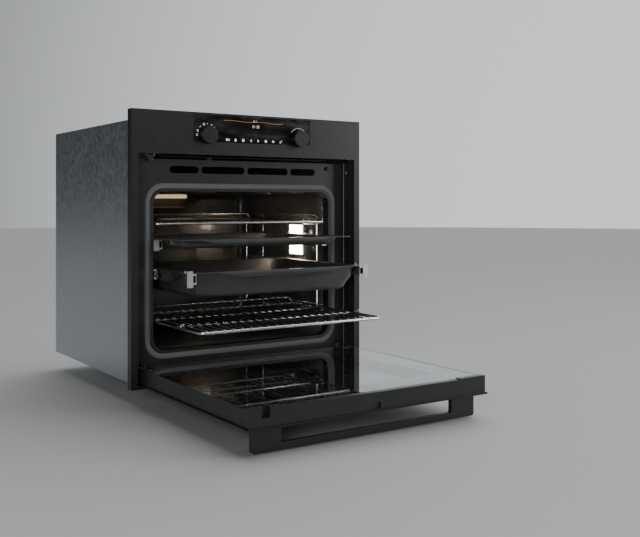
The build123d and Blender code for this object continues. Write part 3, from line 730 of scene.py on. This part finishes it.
def cavity_liner():
    """Drawn enamelled box with round corners, open at the front and at the lamp."""
    inner = drawn_box("cavity_roof")
    floor = drawn_box("cavity_floor")[1].z
    half, low, high = inner[1].x, floor, inner[0].z
    lamp_y = LAMP_LOW.y + 12, LAMP_HIGH.y - 12
    lamp_z = LAMP_LOW.z + 6, LAMP_HIGH.z - 6
    rows = [(y, 0.0, 30.0) for y in (LINER_FRONT, *lamp_y, LINER_END - 24)]
    for n in range(1, 7):
        angle = math.pi / 2 * n / 6
        rows.append((LINER_END - 24 + 23 * math.sin(angle), 23 * (1 - math.cos(angle)), 30.0))
    loops = []
    for y, inset, radius in rows:
        loop = rounded(-half + inset, half - inset, low + inset, high - inset, radius)
        corner = len(loop) // 4
        side = [(half - inset, z) for z in lamp_z]
        loop = loop[:corner] + side + loop[corner:]
        loops.append([(x, y, z) for x, z in loop])
    shape = bmesh.new()
    skin(shape, loops)
    window = [face for face in shape.faces if lamp_y[0] < face.calc_center_median().y < lamp_y[1]]
    window = [face for face in window if face.calc_center_median().x > half - 1]
    window = [face for face in window if lamp_z[0] < face.calc_center_median().z < lamp_z[1]]
    bmesh.ops.delete(shape, geom=window, context="FACES_ONLY")
    walls = ["cavity_sides", "cavity_roof", "cavity_floor"]
    obj = piece("cavity_liner", shape, LINER, "root", walls)
    sheet = obj.modifiers.new("sheet", "SOLIDIFY")
    sheet.thickness = 1.2 * MM
    sheet.offset = 1.0
    outline = [(x, z) for x, y, z in loops[-1]]
    back_wall(outline, LINER_END - 1.0)


def back_wall(outline, front):
    """Back of the liner, with holes for the fan shaft and the legs of both heaters."""
    shaft_radius, leg_radius = 6, 4
    ring_legs, ring_drop = (-84, -70), 60
    grill_legs, grill_z = (-30, 30), 421.5
    holes = [(0, FAN_Z, shaft_radius)]
    holes += [(x, FAN_Z - ring_drop, leg_radius) for x in ring_legs]
    holes += [(x, grill_z, leg_radius) for x in grill_legs]
    shape = bmesh.new()
    plate(shape, [outline] + [circle(x, z, radius, 24) for x, z, radius in holes], front, front + 1.2)
    piece("cavity_back_sheet", shape, LINER, "root", ["cavity_back"])


COVER_LOW, COVER_HIGH = drawn_box("fan_cover")


def cover_line(inset):
    """Fan cover outline, stepped down in the middle of its upper edge."""
    half = COVER_HIGH.x - inset
    low = COVER_LOW.z + inset
    high = COVER_HIGH.z - inset
    dip = high - 24
    points = [(-half, low), (half, low), (half, high), (88 - inset, high), (56 - inset, dip)]
    points += [(-56 + inset, dip), (-88 + inset, high), (-half, high)]
    path = bent([(x, 0, z) for x, z in points], 14 - inset * 0.9, True, 8)
    return [(point.x, point.z) for point in path]


def in_cover_holes(x, z):
    reach = abs(z - FAN_Z)
    octagon = x < 76 and reach < 76 and x + reach < 101
    return octagon or (105 < x < 192 and (364 < z < 397 or 111 < z < 142))


def fan_cover():
    """Pressed cover with round shoulders and fine holes set cornerwise."""
    shoulder = 7.0
    pitch, hole = 6.5, 1.95
    outlines = [cover_line(shoulder)]
    for row in range(-50, 51):
        z = FAN_Z + row * pitch / 2
        for column in range(-32, 33):
            x = (column + row % 2 / 2) * pitch
            if in_cover_holes(abs(x), z):
                outlines.append([(x - hole, z), (x, z - hole), (x + hole, z), (x, z + hole)])
    outlines.append(circle(172, 261, 14.6, 32))
    shape = bmesh.new()
    plate(shape, outlines, COVER_LOW.y, COVER_LOW.y + 0.9)
    loops = []
    for n in range(7):
        angle = math.pi / 2 * n / 6
        inset = shoulder * (1 - math.sin(angle))
        y = COVER_LOW.y + shoulder * (1 - math.cos(angle))
        loops.append([(x, y, z) for x, z in cover_line(inset)])
    loops.append([(x, COVER_HIGH.y - 0.3, z) for x, z in cover_line(0)])
    skin(shape, loops)
    piece("fan_cover_pressed", shape, COVER, "root", ["fan_cover"])


def spring_nuts():
    """Knurled nuts and screws that hold the side racks."""
    shape = bmesh.new()
    for side in (-1, 1):
        for y in (97.3, 457.3):
            wire(shape, [(side * 230, y, 279), (side * 239, y, 279)], 2.4)
            knurl = 36
            loops = []
            for x, radius in ((225, 4.4), (225.8, 5.4), (229.6, 5.4), (230.4, 4.4)):
                turns = [math.tau * k / knurl for k in range(knurl)]
                ribs = [(radius - 0.35 * (k % 2), a) for k, a in enumerate(turns)]
                loops.append([(side * x, y + r * math.cos(a), 279 + r * math.sin(a)) for r, a in ribs])
            rows = skin(shape, loops)
            shape.faces.new(rows[0])
            shape.faces.new(rows[-1])
        screw_head(shape, (side * 238.6, 75, 382), (-side, 0, 0), 4.5, 2.4)
    piece("rack_screws", shape, BRIGHT, "root", ["rack_nuts"], sharp=50)


# ---- wire goods ----

def side_rack(name, side):
    """Welded wire ladder: uprights, and two wires for each shelf level, open at the front."""
    low, high = drawn_box(name)
    levels = (129.7, 179.7, 229.6, 293.0, 343.2)
    gap, thick, thin = 12.8, 2.5, 2.25
    wall_x = 233.0
    run_x = 228.5
    ends = low.z + thick, high.z - thick
    uprights = 92.0, 360.0, 452.0
    shape = bmesh.new()
    hoop = [(uprights[0], ends[0]), (uprights[2], ends[0]), (uprights[2], ends[1]), (uprights[0], ends[1])]
    wire(shape, bent([(side * wall_x, y, z) for y, z in hoop], 9, True), thick, True)
    wire(shape, [(side * wall_x, uprights[1], z) for z in ends], thick)
    lamp_zone = LAMP_LOW.y - 3, LAMP_HIGH.y + 3
    for level in levels:
        front = low.y + thin
        for z in (level, level + gap):
            crosses = side > 0 and LAMP_LOW.z - 3 < z < LAMP_HIGH.z + 3
            if crosses:
                wire(shape, [(side * run_x, lamp_zone[1], z), (side * run_x, 456, z)], thin)
            back = lamp_zone[0] if crosses else 456.0
            run = [(run_x, back), (run_x, front + 9), (wall_x, front)]
            wire(shape, bent([(side * x, y, z) for x, y in run], 4), thin)
    piece(f"{name}_wires", shape, CHROME, "root", [name])


RACK_WIRES = 22


def rack(name, body):
    """Shelf of thin wires on a thick frame, with stops at the sides and a raised back."""
    low, high = drawn_box(name)
    half, front, back = high.x - 3, low.y + 3, high.y - 3
    z = low.z + 3
    shape = bmesh.new()
    frame_line = [(-half, front, z), (half, front, z), (half, back, z), (-half, back, z)]
    wire(shape, bent(frame_line, 14, True, 10), 3.0, True, 14)
    for y in (front + 122, front + 247):
        wire(shape, [(-half + 1, y, z - 0.4), (half - 1, y, z - 0.4)], 2.2)
    for n in range(RACK_WIRES):
        x = -half + 12 + (2 * half - 24) * n / (RACK_WIRES - 1)
        ends = (front - 2.4, 4.5), (front + 6, 4.4), (back - 6, 4.4), (back + 2, 4.4)
        wire(shape, [(x, y, z + rise) for y, rise in ends], 1.4, False, 8)
    inner, top = half - 9, z + 16.6
    guard = [(-inner, back, z), (-inner, back + 0.5, top), (inner, back + 0.5, top), (inner, back, z)]
    wire(shape, bent(guard, 12), 2.4)
    for side in (-1, 1):
        x = side * (half - 1.7)
        stop = [(x, front + 98, z + 1), (x, front + 92, z + 9), (x, front + 84, z + 9)]
        wire(shape, bent(stop, 3), 2.2)
    piece(f"{name}_wires", shape, CHROME, body, [name])


# ---- pressed trays ----

def eased(share):
    share = min(max(share, 0.0), 1.0)
    return share * share * (3 - 2 * share)


def pressed(name, body, wall_half, floor_inset, corner, lip_half, lip_low, lip_drop):
    """Enamelled dish with a rolled rim, round walls and a turned-down front lip."""
    low, high = drawn_box(name)
    half, front, back = high.x, low.y, high.y
    rim, bottom = high.z, low.z
    edge = half - wall_half
    deep = rim - bottom
    section = [(0.9, -1.7), (0.25, -1.5), (0.0, -1.0), (0.4, -0.35), (1.3, 0.0)]
    section += [(edge - 5, -0.1), (edge - 2.6, -0.35), (edge - 0.8, -1.2), (edge, -2.8)]
    curve = min(deep * 0.45, 14.0)
    section.append((edge + (floor_inset - curve * 0.55) * 0.5, -deep * 0.5))
    loops = []
    for inset, drop in section + floor_curve(edge, floor_inset, deep, curve):
        radius = max(16 + (corner - 16) * eased(inset / (edge + 2)), 4)
        loop = rounded(-half + inset, half - inset, front + inset, back - inset, radius, 10)
        loops.append([(x, y, rim + drop) for x, y in loop])
    shape = bmesh.new()
    made = skin(shape, loops)
    shape.faces.new(made[-1])
    add_lip(shape, front, rim, lip_half, lip_low, lip_drop)
    obj = piece(name + "_pressed", shape, TRAY, body, [name], sharp=60)
    sheet = obj.modifiers.new("sheet", "SOLIDIFY")
    sheet.thickness = 0.9 * MM
    sheet.offset = -1.0


def floor_curve(edge, floor_inset, deep, curve):
    """Round from the wall into the floor of a dish, as (inset, drop) pairs."""
    pairs = []
    for n in range(6):
        angle = math.pi / 2 * n / 5
        inset = edge + floor_inset - curve * 0.35 + curve * (1 - math.cos(angle))
        pairs.append((inset, -deep + 1.0 + curve * (1 - math.sin(angle))))
    return pairs


def add_lip(shape, front, rim, lip_half, lip_low, lip_drop):
    """Front edge turned down in the middle, fading out in a long S at each end."""
    columns = 72
    rows = []
    for n in range(columns + 1):
        x = -lip_half + 2 * lip_half * n / columns
        drop = 1.2 + (lip_drop - 1.2) * eased((lip_half - abs(x)) / (lip_half - lip_low))
        bend = (1.2, 0.1), (0.3, 0.6), (0.1, 1.2), (0.6, drop)
        rows.append([(x, front + inward, rim - down) for inward, down in bend])
    skin(shape, rows, closed=False)


# ---- door ----

def window_ring(shape, outer, inner, y_is_z):
    """Flat frame-shaped print lying in the XY plane."""
    rows = []
    for loop in (outer, inner):
        rows.append([(x, y, y_is_z) for x, y in loop])
    skin(shape, rows)


def print_patch(shape, x0, x1, y0, y1, z):
    """Flat rectangle of print lying in the XY plane."""
    corners = ((x0, y0), (x1, y0), (x1, y1), (x0, y1))
    shape.faces.new([shape.verts.new((x, y, z)) for x, y in corners])


def door_print():
    """Black ceramic print under the two inner panes, leaving a clear window in each."""
    low, high = drawn_box("inner_glass")
    notch_end, notch_in, notch_out = -14.6, 247.4, 264.6
    level = low.z - 0.15
    shape = bmesh.new()
    outer = rounded(low.x + 0.5, high.x - 0.5, low.y + 0.5, notch_end, 2, 6)
    inner = rounded(-206, 206, low.y + 64, high.y - 66, 9, 6)
    window_ring(shape, outer, inner, level)
    print_patch(shape, -notch_in, notch_in, notch_end, high.y - 0.5, level)
    for x0, x1 in ((low.x + 0.5, -notch_out), (notch_out, high.x - 0.5)):
        print_patch(shape, x0, x1, notch_end, high.y - 0.5, level)
    piece("inner_glass_print", shape, BORDER, "door")
    low, high = drawn_box("middle_glass")
    shape = bmesh.new()
    outer = rounded(low.x + 0.5, high.x - 0.5, low.y + 0.5, high.y - 0.5, 2, 6)
    inner = rounded(-188, 188, low.y + 74, high.y - 76, 9, 6)
    window_ring(shape, outer, inner, high.z + 0.15)
    piece("middle_glass_print", shape, BORDER, "door")


# ---- casing ----

def casing_screws():
    """Sheet-metal screws round the back of the casing."""
    low, high = drawn_box("casing_back")
    shape = bmesh.new()
    for x in (-262, -90, 90, 262):
        for z in (low.z + 14, high.z - 14):
            screw_head(shape, (x, high.y - 1.2, z), (0, 1, 0), 3.6, 1.2)
    piece("casing_screws", shape, BRIGHT, "root")


# ---- studio ----

def soft_light(name, spot, target, size, power, colour=(1, 1, 1)):
    light = bpy.data.lights.new(name, "AREA")
    light.shape = "RECTANGLE"
    light.size, light.size_y = size
    light.energy = power
    light.color = colour
    obj = bpy.data.objects.new(name, light)
    obj.location = spot
    obj.rotation_euler = (Vector(target) - Vector(spot)).to_track_quat("-Z", "Y").to_euler()
    bpy.context.scene.collection.objects.link(obj)


def studio():
    """Large pale floor just under the lowest point, pale surroundings and soft lights."""
    shape = bmesh.new()
    radius, level = 14.0, CAD_BOX[0][2] - 0.004
    loops = []
    turns = [math.tau * n / 96 for n in range(96)]
    for reach in (0.5, 2.0, 6.0, radius):
        loops.append([(reach * math.cos(turn), reach * math.sin(turn), level) for turn in turns])
    rows = skin(shape, loops)
    shape.faces.new(rows[0])
    mesh = bpy.data.meshes.new("floor")
    bmesh.ops.recalc_face_normals(shape, faces=shape.faces)
    shape.to_mesh(mesh)
    shape.free()
    floor = bpy.data.objects.new("floor", mesh)
    made = Finish("floor_paint", (0.56, 0.57, 0.58), 0.7)
    made.mottle(400, 0.01)
    mesh.materials.append(made.material)
    bpy.context.scene.collection.objects.link(floor)
    surroundings()
    soft_light("right_soft", (3.0, -2.7, 1.3), (0, -0.2, 0.3), (1.4, 2.2), 44)
    soft_light("front_soft", (0.9, -3.9, 1.35), (-0.2, -0.3, 0.55), (0.7, 0.5), 3.5)
    soft_light("left_soft", (-2.7, -3.3, 0.9), (0, -0.3, 0.25), (1.2, 1.6), 60)
    overhead_light()


def overhead_light():
    """Very broad light from above, so that the floor is even."""
    light = bpy.data.lights.new("overhead", "SUN")
    light.energy = 1.5
    light.angle = 1.3
    obj = bpy.data.objects.new("overhead", light)
    obj.rotation_euler = (math.radians(-14), math.radians(24), 0)
    bpy.context.scene.collection.objects.link(obj)


def surroundings():
    """Pale behind and to the right, darker in front."""
    world = bpy.data.worlds.new("studio")
    world.use_nodes = True
    tree = world.node_tree
    direction = tree.nodes.new("ShaderNodeTexCoord")
    split = tree.nodes.new("ShaderNodeSeparateXYZ")
    tree.links.new(direction.outputs["Generated"], split.inputs["Vector"])
    behind = tree.nodes.new("ShaderNodeMath")
    behind.operation = "MULTIPLY"
    behind.inputs[1].default_value = 0.45
    tree.links.new(split.outputs["Y"], behind.inputs[0])
    sideways = tree.nodes.new("ShaderNodeMath")
    sideways.operation = "MULTIPLY_ADD"
    sideways.inputs[1].default_value = 0.75
    tree.links.new(split.outputs["X"], sideways.inputs[0])
    tree.links.new(behind.outputs[0], sideways.inputs[2])
    share = tree.nodes.new("ShaderNodeMapRange")
    share.interpolation_type = "SMOOTHSTEP"
    share.inputs["From Min"].default_value = 0.4
    share.inputs["From Max"].default_value = 0.88
    tree.links.new(sideways.outputs[0], share.inputs["Value"])
    mix = tree.nodes.new("ShaderNodeMix")
    mix.data_type = "RGBA"
    tree.links.new(share.outputs["Result"], mix.inputs["Factor"])
    mix.inputs[6].default_value = (0.06, 0.063, 0.065, 1)
    mix.inputs[7].default_value = (0.88, 0.92, 0.95, 1)
    tree.links.new(mix.outputs[2], tree.nodes["Background"].inputs["Color"])
    bpy.context.scene.world = world


def camera():
    """Standing to the left, level with the middle of the oven."""
    data = bpy.data.cameras.new("camera")
    data.sensor_width = 36
    data.lens = 50.6
    data.shift_y = -0.1025
    obj = bpy.data.objects.new("camera", data)
    obj.location = (-1.0226, -2.0834, 0.3913)
    obj.rotation_euler = (math.radians(90), 0, math.radians(-33.9))
    bpy.context.scene.collection.objects.link(obj)
    bpy.context.scene.camera = obj


finish_nodes()
knob_symbols()
touch_symbols()
display()
gasket()
level_numbers()
visible_screws()
recess_edges()
cavity_liner()
fan_cover()
spring_nuts()
side_rack("side_rack_left", -1)
side_rack("side_rack_right", 1)
rack("top_rack", "top_rack")
rack("bottom_rack", "bottom_rack")
pressed("baking_tray", "baking_tray", 204, 10, 22, 178, 122, 14.5)
pressed("deep_pan", "deep_pan", 205, 18, 28, 165, 115, 14.0)
door_print()
casing_screws()
studio()
camera()
